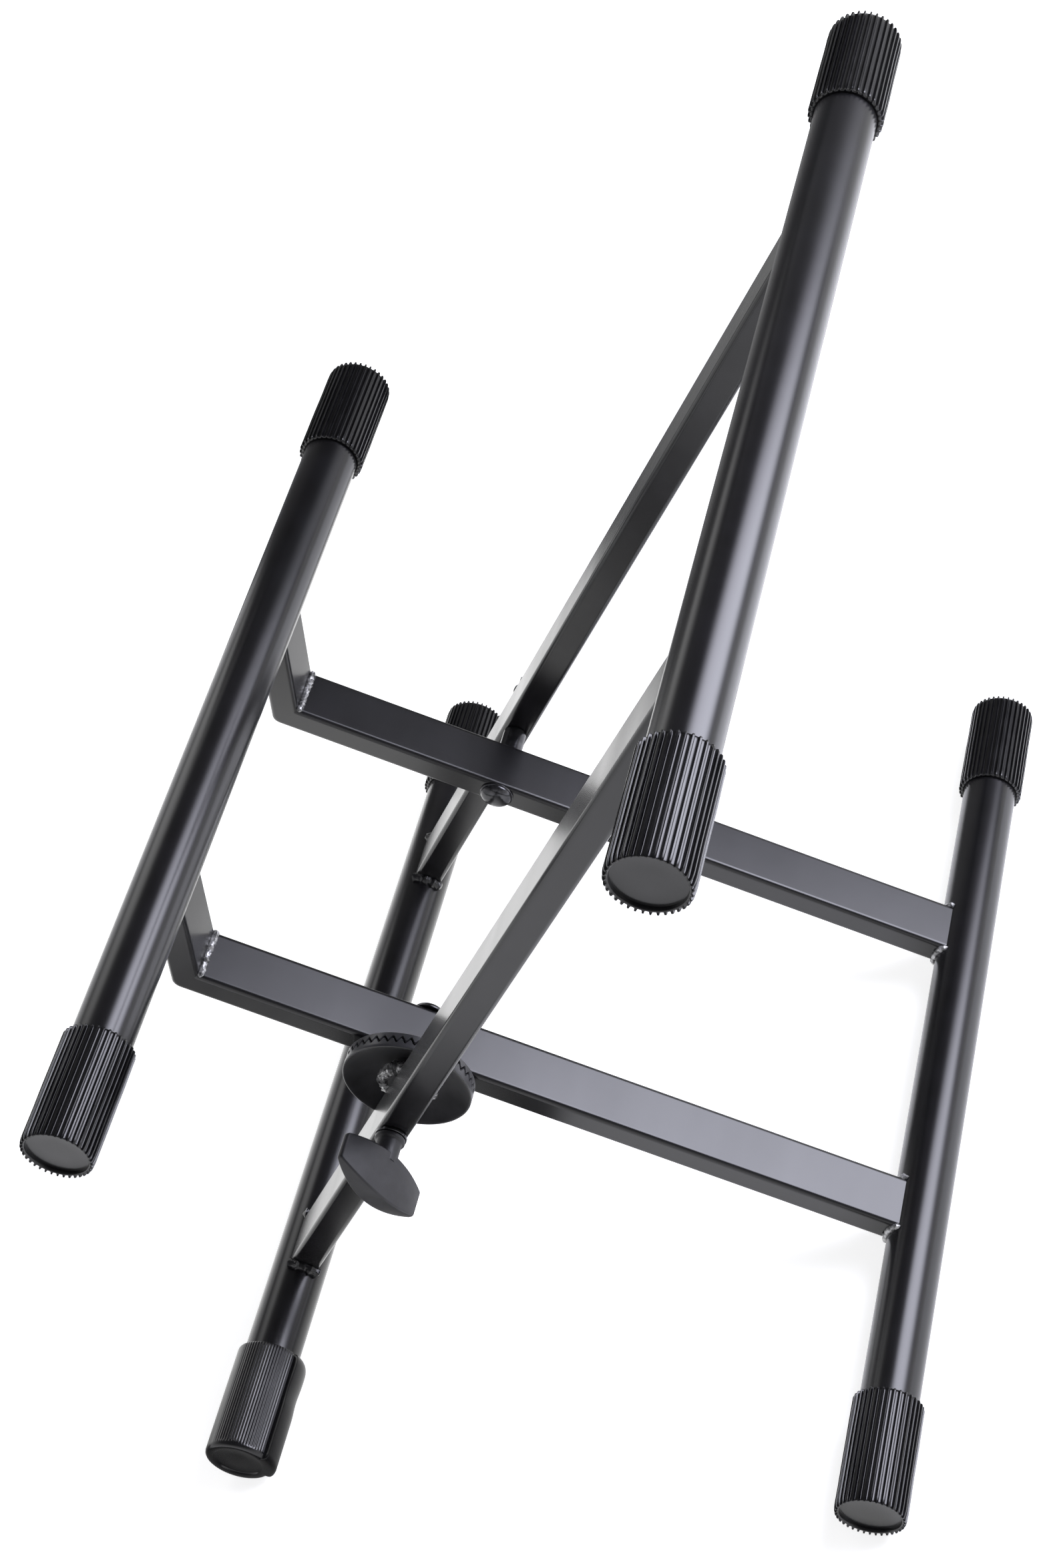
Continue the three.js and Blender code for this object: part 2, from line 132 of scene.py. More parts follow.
# ---------------------------------------------------------------- local frames
def rail_place(toward):
    """Local frame at the pivot: x sideways, y towards that tube, z out of the bars' upper faces."""
    along = (toward - PIVOT).normalized()
    up = Vector((0, -along.z, along.y))
    place = Matrix((Vector((1, 0, 0)), along, up)).transposed().to_4x4()
    place.translation = PIVOT
    return place


SUPPORT_PLACE = rail_place(REAR_FLOOR)
BACK_PLACE = rail_place(BACKREST)
PIVOT_PLACE = Matrix.Translation(PIVOT)
REAR_REACH = (REAR_FLOOR - PIVOT).length
FRONT_REACH = (FRONT_FLOOR - PIVOT).length
BACK_REACH = (BACKREST - PIVOT).length
lip_local = SUPPORT_PLACE.inverted() @ LIP
LIP_REACH = -lip_local.y
LIP_RISE = lip_local.z
ARM = Vector((CORNER_REACH - LIP_REACH, LIP_RISE))  # folded corner to lip tube, as (y, z)
FOLD_HALF_ANGLE = math.atan2(ARM.y, ARM.x) / 2


# ---------------------------------------------------------------- materials
def material(name, colour, **sockets):
    made = bpy.data.materials.new(name)
    made.use_nodes = True
    shader = made.node_tree.nodes["Principled BSDF"]
    shader.inputs["Base Color"].default_value = (*colour, 1)
    for socket, value in sockets.items():
        shader.inputs[socket.replace("_", " ")].default_value = value
    return made


def noise(made, scale, detail=2.0, stretch=(1, 1, 1)):
    """A noise field over object coordinates, which are the frame's metres."""
    nodes, links = made.node_tree.nodes, made.node_tree.links
    place = nodes.new("ShaderNodeTexCoord")
    mapping = nodes.new("ShaderNodeMapping")
    mapping.inputs["Scale"].default_value = stretch
    field = nodes.new("ShaderNodeTexNoise")
    field.inputs["Scale"].default_value = scale
    field.inputs["Detail"].default_value = detail
    links.new(place.outputs["Object"], mapping.inputs["Vector"])
    links.new(mapping.outputs["Vector"], field.inputs["Vector"])
    return field.outputs["Fac"]


def vary_colour(made, field, dark, light, low=0.35, high=0.65):
    nodes, links = made.node_tree.nodes, made.node_tree.links
    ramp = nodes.new("ShaderNodeValToRGB")
    ramp.color_ramp.elements[0].position = low
    ramp.color_ramp.elements[0].color = (*dark, 1)
    ramp.color_ramp.elements[1].position = high
    ramp.color_ramp.elements[1].color = (*light, 1)
    links.new(field, ramp.inputs["Fac"])
    links.new(ramp.outputs["Color"], nodes["Principled BSDF"].inputs["Base Color"])


def vary_roughness(made, field, low, high):
    nodes, links = made.node_tree.nodes, made.node_tree.links
    spread = nodes.new("ShaderNodeMapRange")
    spread.inputs["From Min"].default_value = 0.3
    spread.inputs["From Max"].default_value = 0.7
    spread.inputs["To Min"].default_value = low
    spread.inputs["To Max"].default_value = high
    links.new(field, spread.inputs["Value"])
    links.new(spread.outputs["Result"], nodes["Principled BSDF"].inputs["Roughness"])


def add_bump(made, field, height):
    """Adds one layer of relief, height in metres, on top of any that is there."""
    nodes, links = made.node_tree.nodes, made.node_tree.links
    normal = nodes["Principled BSDF"].inputs["Normal"]
    bump = nodes.new("ShaderNodeBump")
    bump.inputs["Distance"].default_value = height
    links.new(field, bump.inputs["Height"])
    if normal.is_linked:
        links.new(normal.links[0].from_socket, bump.inputs["Normal"])
    links.new(bump.outputs["Normal"], normal)


def powder_coat():
    made = material("powder_coat", (0.005, 0.005, 0.006), IOR=1.5, Sheen_Weight=0.10, Sheen_Roughness=0.3)
    vary_colour(made, noise(made, 60, 4), (0.0038, 0.0036, 0.0042), (0.0062, 0.0060, 0.0072))
    vary_roughness(made, noise(made, 25, 3, (0.25, 1, 1)), 0.21, 0.27)
    add_bump(made, noise(made, 60, 2), 0.00002)
    add_bump(made, noise(made, 900, 3), 0.0000015)
    return made


def disc_coat_painted_light():
    """A rougher copy of the frame's coat for the dished discs, made lighter: painted light that brightens
    the bowls.
    """
    made = material("disc_coat_painted_light", (0.02, 0.02, 0.022), IOR=1.5, Sheen_Weight=0.15, Sheen_Roughness=0.4)
    # The base colour is lighter than the frame coat's: painted light on the discs.
    vary_colour(made, noise(made, 90, 4), (0.016, 0.016, 0.018), (0.030, 0.030, 0.033))
    vary_roughness(made, noise(made, 40, 3), 0.30, 0.38)
    add_bump(made, noise(made, 90, 2), 0.00003)
    return made


def weld_coat():
    """The same coat over a rough bead of weld."""
    made = material("weld_coat", (0.006, 0.006, 0.007), IOR=1.5)
    vary_colour(made, noise(made, 300, 4), (0.004, 0.004, 0.005), (0.010, 0.010, 0.011))
    vary_roughness(made, noise(made, 400, 3), 0.14, 0.26)
    add_bump(made, noise(made, 420, 3), 0.0006)
    return made


def weld_painted_glints():
    """Coated beads given a light grey, part metallic colour with brighter patches: painted glints that stand
    for their reflections.
    """
    made = material("weld_painted_glints", (0.12, 0.115, 0.11), Metallic=0.55)
    # The light patches, up to half white, are painted glints.
    vary_colour(made, noise(made, 500, 4), (0.06, 0.06, 0.062), (0.50, 0.50, 0.50))
    vary_roughness(made, noise(made, 400, 3), 0.16, 0.32)
    add_bump(made, noise(made, 420, 3), 0.0006)
    return made


def ribbed_rubber():
    made = material("ribbed_rubber", (0.004, 0.004, 0.005), IOR=1.5)
    vary_colour(made, noise(made, 140, 5), (0.0025, 0.0024, 0.0030), (0.0055, 0.0053, 0.0062))
    vary_roughness(made, noise(made, 90, 4), 0.18, 0.26)
    add_bump(made, noise(made, 120, 3, (0.4, 1, 1)), 0.00003)
    return made


def moulded_plastic():
    made = material("moulded_plastic", (0.012, 0.0115, 0.014), IOR=1.48)
    vary_colour(made, noise(made, 200, 4), (0.007, 0.0067, 0.0085), (0.011, 0.0106, 0.0135))
    vary_roughness(made, noise(made, 120, 4), 0.40, 0.50)
    add_bump(made, noise(made, 2600, 3), 0.00004)
    return made


def blackened_steel():
    made = material("blackened_steel", (0.05, 0.05, 0.053), Metallic=0.85)
    vary_colour(made, noise(made, 220, 5), (0.030, 0.030, 0.033), (0.070, 0.070, 0.074))
    vary_roughness(made, noise(made, 180, 4), 0.12, 0.22)
    add_bump(made, noise(made, 260, 3), 0.00010)
    return made


def zinc_plate():
    made = material("zinc_plate", (0.55, 0.56, 0.57), Metallic=1.0)
    vary_colour(made, noise(made, 500, 4), (0.46, 0.47, 0.48), (0.64, 0.65, 0.66))
    vary_roughness(made, noise(made, 600, 3), 0.22, 0.36)
    return made


def turned_brass():
    made = material("turned_brass", (0.6, 0.42, 0.18), Metallic=1.0)
    vary_colour(made, noise(made, 300, 4), (0.52, 0.36, 0.14), (0.68, 0.50, 0.23))
    vary_roughness(made, noise(made, 900, 2, (8, 1, 1)), 0.2, 0.34)
    return made


COAT = powder_coat()
DISC_COAT_PAINTED_LIGHT = disc_coat_painted_light()
WELD = weld_coat()
WELD_PAINTED_GLINTS = weld_painted_glints()
RUBBER = ribbed_rubber()
PLASTIC = moulded_plastic()
BLACK_STEEL = blackened_steel()
ZINC = zinc_plate()
BRASS = turned_brass()


# ---------------------------------------------------------------- mesh building
def add_piece(name, points, faces, place, body, finish, replaced=(), crease=32):
    """Makes one object from millimetre points in a local frame."""
    mesh = bpy.data.meshes.new(name)
    mesh.from_pydata([(place @ Vector(p)) * MM for p in points], [], faces)
    work = bmesh.new()
    work.from_mesh(mesh)
    bmesh.ops.remove_doubles(work, verts=work.verts, dist=2e-6)
    bmesh.ops.recalc_face_normals(work, faces=work.faces)
    work.to_mesh(mesh)
    work.free()
    mesh.shade_smooth()
    mesh.set_sharp_from_angle(angle=math.radians(crease))
    mesh.materials.append(finish)
    obj = bpy.data.objects.new(name, mesh)
    bpy.context.scene.collection.objects.link(obj)
    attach(obj, body)
    if replaced:
        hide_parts(*replaced)
    return obj


def loft(rings, closed_ends=True, closed_path=False):
    """Skin over rings of the same number of points."""
    count = len(rings[0])
    points = [p for ring in rings for p in ring]
    faces = []
    spans = len(rings) if closed_path else len(rings) - 1
    for i in range(spans):
        a = i * count
        b = ((i + 1) % len(rings)) * count
        for j in range(count):
            k = (j + 1) % count
            faces.append((a + j, a + k, b + k, b + j))
    if closed_ends and not closed_path:
        faces.append(tuple(range(count))[::-1])
        faces.append(tuple(range(len(points) - count, len(points))))
    return points, faces


def on_circle(x, radius, angle):
    """A point at that angle round the X axis."""
    return x, radius * math.cos(angle), radius * math.sin(angle)


def turned(profile, segments=96, closed=False):
    """A body turned about the X axis from (radius, x) points. closed joins the last point to the first."""
    rings = []
    for radius, x in profile:
        rings.append([on_circle(x, radius, TURN * j / segments) for j in range(segments)])
    return loft(rings, closed_ends=False, closed_path=closed)


def joined(*parts):
    """Several (points, faces) as one."""
    points, faces = [], []
    for more_points, more_faces in parts:
        start = len(points)
        points += list(more_points)
        faces += [tuple(start + i for i in face) for face in more_faces]
    return points, faces


def arc(centre, radius, start, end, steps):
    """Points on a circle's arc, angles in degrees, both ends included."""
    made = []
    for i in range(steps + 1):
        angle = math.radians(start + (end - start) * i / steps)
        made.append((centre[0] + radius * math.cos(angle), centre[1] + radius * math.sin(angle)))
    return made


def mirrored(part):
    points, faces = part
    return [(-x, y, z) for x, y, z in points], [face[::-1] for face in faces]


def ripple(t, seed):
    """A repeatable uneven value from -1 to 1."""
    return (
        0.5 * math.sin(2.1 * t + 1.7 * seed)
        + 0.3 * math.sin(5.3 * t + 2.9 * seed + 1)
        + 0.2 * math.sin(11.9 * t + 4.3 * seed + 2)
    )


def bead(path, radius, seed, lumps=0.28, ends=True):
    """A lumpy round bead along a path of points."""
    around = 12
    path = [Vector(p) for p in path]
    rings = []
    length = 0.0
    for i, point in enumerate(path):
        before = path[max(i - 1, 0)] if ends else path[i - 1]
        after = path[min(i + 1, len(path) - 1)] if ends else path[(i + 1) % len(path)]
        tangent = (after - before).normalized()
        length += (point - path[i - 1]).length if i else 0
        side = tangent.orthogonal().normalized()
        if abs(tangent.x) < 0.9:
            side = (Vector((1, 0, 0)) - tangent * tangent.x).normalized()
        other = tangent.cross(side)
        size = radius * (1 + lumps * ripple(1.3 * length, seed) + 0.12 * abs(math.sin(1.9 * length)))
        if ends:
            edge = min(i, len(path) - 1 - i) / 3
            size *= math.sqrt(max(0.0, 1 - (1 - min(edge, 1)) ** 2)) * 0.98 + 0.02
        ring = []
        for j in range(around):
            angle = TURN * j / around
            reach = size * (1 + 0.5 * lumps * ripple(length + 2.2 * angle, seed + j % 3))
            ring.append(point + side * math.cos(angle) * reach + other * math.sin(angle) * reach)
        rings.append(ring)
    return loft(rings, closed_ends=ends, closed_path=not ends)


# ---------------------------------------------------------------- round tubes
def round_tube():
    chamfer = 0.3
    profile = [
        (TUBE_R - TUBE_WALL, -TUBE_END),
        (TUBE_R - chamfer, -TUBE_END),
        (TUBE_R, -TUBE_END + chamfer),
        (TUBE_R, -CAP_MOUTH),
        (TUBE_R, 0),
        (TUBE_R, CAP_MOUTH),
        (TUBE_R, TUBE_END - chamfer),
        (TUBE_R - chamfer, TUBE_END),
        (TUBE_R - TUBE_WALL, TUBE_END),
    ]
    return turned(profile, 128, closed=True)


def add_tubes():
    stations = [
        ("rear_floor_tube", REAR_FLOOR, "support_frame"),
        ("lip_tube", LIP, "support_frame"),
        ("front_floor_tube", FRONT_FLOOR, "back_frame"),
        ("backrest_tube", BACKREST, "back_frame"),
    ]
    for node, centre, body in stations:
        points, faces = round_tube()
        place = Matrix.Translation(centre)
        add_piece(f"{node}_coated", points, faces, place, body, COAT, [node])


# ---------------------------------------------------------------- rectangular bars
def bar_section():
    """(x, share of the depth) around a bar's rounded section, from its lower to its upper face."""
    half_x = BAR_WIDTH / 2
    half_z = BAR_DEPTH / 2
    inset = BAR_CORNER_R
    support = 0.25
    corners = [
        (half_x - inset, half_z - inset, 0),
        (-half_x + inset, half_z - inset, 90),
        (-half_x + inset, -half_z + inset, 180),
        (half_x - inset, -half_z + inset, 270),
    ]
    section = []
    for x, z, start in corners:
        corner = arc((x, z), inset, start, start + 90, 8)
        lead = math.radians(start)
        before = (corner[0][0] + support * math.sin(lead), corner[0][1] - support * math.cos(lead))
        last = math.radians(start + 90)
        after = (corner[-1][0] - support * math.sin(last), corner[-1][1] + support * math.cos(last))
        section += [before, *corner, after]
        if start in (90, 270):
            side = -half_x if start == 90 else half_x
            steps = 5
            reach = half_z - inset - support
            direction = -1 if start == 90 else 1
            for i in range(1, steps):
                section.append((side, direction * (-reach + 2 * reach * i / steps)))
    return [(x, (z + half_z) / BAR_DEPTH) for x, z in section]


SECTION = bar_section()


def cope(z):
    """How far a bar's end stands from the tube's centre at that height."""
    reach = TUBE_R - SEAT
    return math.sqrt(reach * reach - z * z)


def section_ring(x, lower, upper):
    """The bar's section laid between a point of its lower face and one of its upper face, both (y, z)."""
    ring = []
    for across, share in SECTION:
        y = lower[0] + (upper[0] - lower[0]) * share
        z = lower[1] + (upper[1] - lower[1]) * share
        ring.append((x + across, y, z))
    return ring


def coped_ring(x, reach, side):
    """The bar's end shaped to the tube at that reach. side is 1 where the tube is ahead."""
    ring = []
    for across, share in SECTION:
        z = (share - 0.5) * BAR_DEPTH
        ring.append((x + across, reach - side * cope(z), z))
    return ring


def back_bar(x):
    rings = [coped_ring(x, -FRONT_REACH, -1)]
    for y in (-FRONT_REACH + COPE_RUN, BACK_REACH - COPE_RUN):
        rings.append(section_ring(x, (y, -BAR_DEPTH / 2), (y, BAR_DEPTH / 2)))
    rings.append(coped_ring(x, BACK_REACH, 1))
    return loft(rings)


def support_bar(x):
    """The bar from the rear tube to the folded corner, and on up to the lip tube."""
    half = BAR_DEPTH / 2
    inner = Vector((-CORNER_REACH + half / math.tan(FOLD_HALF_ANGLE), half))
    outer = Vector((-CORNER_REACH - half / math.tan(FOLD_HALF_ANGLE), -half))
    tangent = BEND_R / math.tan(FOLD_HALF_ANGLE)
    bend_centre = Vector((outer.x + tangent, -half + BEND_R))
    start_y = inner.x + FOLD_RUN
    outline = [Vector((start_y, -half)), Vector((outer.x + tangent, -half))]
    swing = 90 - math.degrees(FOLD_HALF_ANGLE)
    bend = arc(bend_centre, BEND_R, 270, 270 - swing, 6)
    outline += [Vector(p) for p in bend[1:]]
    rings = [coped_ring(x, REAR_REACH, 1)]
    rings.append(section_ring(x, (REAR_REACH - COPE_RUN, -half), (REAR_REACH - COPE_RUN, half)))
    pairs = []
    for i, lower in enumerate(outline):
        share = i / (len(outline) - 1)
        upper = Vector((start_y + (inner.x - start_y) * share, half))
        pairs.append((lower, upper))
    rings += [section_ring(x, lower, upper) for lower, upper in pairs]
    mitre = Vector((math.cos(FOLD_HALF_ANGLE), math.sin(FOLD_HALF_ANGLE)))
    corner = Vector((-CORNER_REACH, 0))

    def reflected(p):
        offset = p - corner
        return corner + 2 * offset.dot(mitre) * mitre - offset

    for lower, upper in reversed(pairs[:-1]):
        rings.append(section_ring(x, reflected(lower), reflected(upper)))
    along = ARM.normalized()
    across = Vector((-along.y, along.x))
    end = []
    for offset, share in SECTION:
        height = (0.5 - share) * BAR_DEPTH
        point = corner + along * (ARM.length - cope(height)) + across * height
        end.append((x + offset, point.x, point.y))
    rings.append(end)
    return loft(rings)


def add_bars():
    for side, sign in (("right", 1), ("left", -1)):
        points, faces = support_bar(sign * SUPPORT_X)
        add_piece(f"support_bar_{side}_coated", points, faces, SUPPORT_PLACE, "support_frame", COAT,
                  [f"support_bar_{side}"])
        points, faces = back_bar(sign * BACK_X)
        add_piece(f"back_bar_{side}_coated", points, faces, BACK_PLACE, "back_frame", COAT,
                  [f"back_bar_{side}"])


# ---------------------------------------------------------------- welds
def tube_weld(x, reach, height, toward, seed, size):
    """Two beads, one along each side face of a bar, where it meets a round tube."""
    parts = []
    steps = 14
    radius = TUBE_R + 0.5
    for side in (-1, 1):
        bead_x = x + side * (BAR_WIDTH / 2 + 0.3 * size - 0.2)
        path = []
        for i in range(steps + 1):
            angle = math.radians(-WELD_SPREAD + 2 * WELD_SPREAD * i / steps)
            across = radius * math.sin(angle)
            back = radius * math.cos(angle)
            y = reach + toward.x * back - toward.y * across
            z = height + toward.y * back + toward.x * across
            path.append((bead_x, y, z))
        parts.append(bead(path, size, seed + side))
    return joined(*parts)


def add_welds():
    arm = ARM.normalized()
    corner_y = -CORNER_REACH + BAR_DEPTH / 2 / math.tan(FOLD_HALF_ANGLE)
    for side, sign in (("right", 1), ("left", -1)):
        x = sign * SUPPORT_X
        seed = 1 if sign > 0 else 4
        welds = [
            ("rear_floor", x, REAR_REACH, 0, Vector((-1, 0)), SUPPORT_PLACE, "support_frame", 1.8),
            ("lip", x, -LIP_REACH, LIP_RISE, -arm, SUPPORT_PLACE, "support_frame", 2.0),
            ("front_floor", sign * BACK_X, -FRONT_REACH, 0, Vector((1, 0)), BACK_PLACE, "back_frame", 3.1),
            ("backrest", sign * BACK_X, BACK_REACH, 0, Vector((-1, 0)), BACK_PLACE, "back_frame", 2.0),
        ]
        for number, (name, at, reach, height, toward, place, body, size) in enumerate(welds):
            points, faces = tube_weld(at, reach, height, toward, seed + number, size)
            # The rear floor welds get the painted glints.
            finish = WELD_PAINTED_GLINTS if name == "rear_floor" else WELD
            add_piece(f"{name}_weld_{side}", points, faces, place, body, finish)
        overhang = 0.4
        steps = 25
        path = []
        for i in range(steps + 1):
            across = -BAR_WIDTH / 2 - overhang + (BAR_WIDTH + 2 * overhang) * i / steps
            path.append((x + across, corner_y + 0.7, BAR_DEPTH / 2 + 0.5))
        points, faces = bead(path, 1.7, seed + 9, lumps=0.34)
        add_piece(f"corner_weld_{side}", points, faces, SUPPORT_PLACE, "support_frame", WELD_PAINTED_GLINTS)
    steps = 64
    path = [on_circle(BACK_INNER - 2.2, HUB_WELD_R, TURN * i / steps) for i in range(steps)]
    points, faces = bead(path, 3.0, 6, lumps=0.36, ends=False)
    add_piece("hub_weld", points, faces, PIVOT_PLACE, "back_frame", WELD_PAINTED_GLINTS)


# ---------------------------------------------------------------- rubber caps
def rib(angle):
    """1 on a rib's crown, 0 in the grooves, with the angle in degrees from the rib's middle."""
    return 1 / (1 + (angle / RIB_HALF_ANGLE) ** 8)


def wobble(angle, x):
    """The soft unevenness of a moulded rubber wall."""
    return 0.5 + 0.3 * math.sin(2 * angle + 0.11 * x) + 0.2 * math.sin(5 * angle - 0.23 * x + 1.3)


def ribbed_cap():
    """Drawn on the +X end, as rings of (groove radius, groove x, rib radius, rib x, wobble)."""
    mouth, end = CAP_MOUTH, CAP_END
    bore = TUBE_R + SEAT
    floor = TUBE_END + SEAT
    rings = [
        (0, floor, 0, floor, 0),
        (bore, floor, bore, floor, 0),
        (bore, mouth + 0.4, bore, mouth + 0.4, 0),
        (15.7, mouth, 15.7, mouth, 0),
        (16.4, mouth + 0.1, 16.7, mouth, 0),
        (16.8, mouth + 0.5, 17.5, mouth + 0.15, 0),
        (GROOVE_R, mouth + 1.0, 18.0, mouth + 0.6, 0.2),
        (GROOVE_R, mouth + 1.8, RIB_R, mouth + 1.5, 0.5),
    ]
    body_steps = 10
    for i in range(body_steps + 1):
        x = mouth + 5 + (end - mouth - 10) * i / body_steps
        rings.append((GROOVE_R, x, RIB_R, x, 1))
    rings += [
        (GROOVE_R, end - 3.2, RIB_R - 0.12, end - 3, 0.6),
        (GROOVE_R, end - 2.1, RIB_R - 0.35, end - 1.5, 0.3),
        (16.45, end - 1.5, RIB_R - 0.65, end - 0.6, 0),
        (16.4, end - 1.15, 17.1, end - 0.1, 0),
        (16.3, end - 0.95, 16.7, end - 0.1, 0),
        (16.15, end - 0.9, 16.35, end - 0.55, 0),
        (15.9, end - 0.85, 15.9, end - 0.85, 0),
        (15.6, end - 0.95, 15.6, end - 0.95, 0),
        (RECESS_R, end - 1.2, RECESS_R, end - 1.2, 0),
        (15.2, end - RECESS_DEPTH + 0.1, 15.2, end - RECESS_DEPTH + 0.1, 0),
        (14.6, end - RECESS_DEPTH, 14.6, end - RECESS_DEPTH, 0),
        (7, end - RECESS_DEPTH, 7, end - RECESS_DEPTH, 0),
        (0, end - RECESS_DEPTH, 0, end - RECESS_DEPTH, 0),
    ]
    pitch = 360 / RIBS
    offsets = [-5, -2.9, -2.3, -1.95, -1.7, -1.45, -1.1, 0, 1.1, 1.45, 1.7, 1.95, 2.3, 2.9]
    spokes = [(pitch * i + offset, rib(offset)) for i in range(RIBS) for offset in offsets]
    made = []
    for groove_r, groove_x, rib_r, rib_x, uneven in rings:
        ring = []
        for degrees, height in spokes:
            angle = math.radians(degrees)
            radius = groove_r + (rib_r - groove_r) * height
            x = groove_x + (rib_x - groove_x) * height
            radius -= 0.16 * uneven * height * wobble(angle, x)
            ring.append(on_circle(x, radius, angle))
        made.append(ring)
    return loft(made, closed_ends=False)


def smooth_step(value, low, high):
    share = min(1.0, max(0.0, (value - low) / (high - low)))
    return share * share * (3 - 2 * share)


def levelling_radius(degrees, x):
    """The levelling cap's outside: smooth in front, finely grooved above, then a slot and the raised lug."""
    from_mouth = x - CAP_MOUTH
    from_end = CAP_END - x
    ends = smooth_step(from_mouth, 0, 1.2) * smooth_step(from_end, LEVEL_ROUNDING, 4.2)
    grooves = smooth_step(degrees, LUG_HIGH + SLOT_WIDTH, LUG_HIGH + SLOT_WIDTH + 2)
    grooves *= 1 - smooth_step(degrees, 104, 122)
    radius = LEVEL_R - 0.26 * ends * grooves * (0.5 + 0.5 * math.cos(math.radians(degrees * 360 / 5)))
    dent = 0.55 * math.exp(-((from_mouth - 21) / 7) ** 2) - 0.2 * math.exp(-((from_mouth - 40) / 9) ** 2)
    shoulder = math.sqrt(max(0.0, 1 - (1 - min(1.0, from_mouth / 6)) ** 2))
    lug_foot_r = 16.5
    lug = (LUG_R - dent - lug_foot_r) * (0.35 + 0.65 * shoulder) + lug_foot_r
    lug = min(lug, LUG_R - 1.2 * smooth_step(LEVEL_ROUNDING - from_end, 0, LEVEL_ROUNDING))
    past_low = smooth_step(degrees, LUG_LOW - 3, LUG_LOW + 2)
    before_high = 1 - smooth_step(degrees, LUG_HIGH - 1, LUG_HIGH)
    inside = past_low * before_high
    radius += (max(lug, radius) - radius) * inside
    slot_end = LUG_HIGH + SLOT_WIDTH
    slot = smooth_step(degrees, LUG_HIGH - 1, LUG_HIGH) * (1 - smooth_step(degrees, slot_end - 1, slot_end))
    return radius - slot * smooth_step(from_end, LEVEL_ROUNDING, 3.6)


def levelling_cap():
    end = CAP_END
    bore = TUBE_R + SEAT
    floor = TUBE_END + SEAT
    degrees = [-180 + 0.5 * i for i in range(720)]
    stations = [CAP_MOUTH + 0.01 + d for d in (0, 0.3, 0.8, 1.5, 2.5, 4, 6)]
    stations += [CAP_MOUTH + 6 + (end - CAP_MOUTH - 11) * i / 16 for i in range(1, 17)]
    stations += [end - d for d in (4.2, 3.4, LEVEL_ROUNDING)]
    rings = [[(floor, 0, 0)] * len(degrees)]

    def plain(radius, x):
        return [on_circle(x, radius, math.radians(d)) for d in degrees]

    rings += [plain(bore, floor), plain(bore, CAP_MOUTH + 0.3), plain(15.6, CAP_MOUTH)]
    for number, x in enumerate(stations):
        rounding = (0.9, 0.35, 0.1)[number] if number < 3 else 0
        rings.append([on_circle(x, levelling_radius(d, x) - rounding, math.radians(d)) for d in degrees])
    edge_r = 2.4
    edge_x = end - LEVEL_ROUNDING
    for turn_in in (25, 50, 70, 90):
        angle_in = math.radians(turn_in)
        inset = edge_r * (1 - math.cos(angle_in))
        x = edge_x + edge_r * math.sin(angle_in)
        rings.append([on_circle(x, levelling_radius(d, edge_x) - inset, math.radians(d)) for d in degrees])
    bottom = end - LEVEL_RECESS
    for radius, x in ((14, end - 0.25), (13.2, end - 0.5), (12.9, end - 1.3), (12.4, bottom), (6, bottom)):
        rings.append(plain(radius, x))
    rings.append([(bottom, 0, 0)] * len(degrees))
    return loft(rings, closed_ends=False)


def add_caps():
    stations = [
        ("rear_floor", REAR_FLOOR, "support_frame"),
        ("lip", LIP, "support_frame"),
        ("front_floor", FRONT_FLOOR, "back_frame"),
        ("backrest", BACKREST, "back_frame"),
    ]
    right = ribbed_cap()
    left = mirrored(right)
    for name, centre, body in stations:
        for side, (points, faces) in (("right", right), ("left", left)):
            node = f"{name}_cap_{side}"
            if node == "front_floor_cap_right":
                continue
            place = Matrix.Translation(centre)
            add_piece(f"{node}_ribbed", points, faces, place, body, RUBBER, [node], crease=50)
    points, faces = levelling_cap()
    add_piece("levelling_cap_moulded", points, faces, Matrix.Translation(FRONT_FLOOR), "levelling_cap",
              RUBBER, ["levelling_cap"], crease=50)


# ---------------------------------------------------------------- pivot
def toothed(profile, tooth_rows, phase):
    """A turned disc whose rows of profile numbers in tooth_rows rise and fall with the teeth."""
    segments = TEETH * STEPS_PER_TOOTH
    rings = []
    for number, (radius, x) in enumerate(profile):
        ring = []
        for j in range(segments):
            angle = TURN * j / segments
            share = (j / STEPS_PER_TOOTH + phase) % 1
            wave = 1 - abs(2 * share - 1)
            rise = tooth_rows.get(number, 0) * min(1.0, max(0.0, 1.35 * wave - 0.175))
            ring.append(on_circle(x + rise, radius, angle))
        rings.append(ring)
    return loft(rings, closed_ends=False, closed_path=True)


def dish(inner_r, outer_r, bottom, top, steps):
    """A dish's (radius, x) points from the middle out, flat in the middle and steeper towards the rim."""
    points = []
    for i in range(steps + 1):
        radius = inner_r + (outer_r - inner_r) * i / steps
        share = (radius - inner_r) / (outer_r - inner_r)
        points.append((radius, bottom + (top - bottom) * share ** 2.2))
    return points


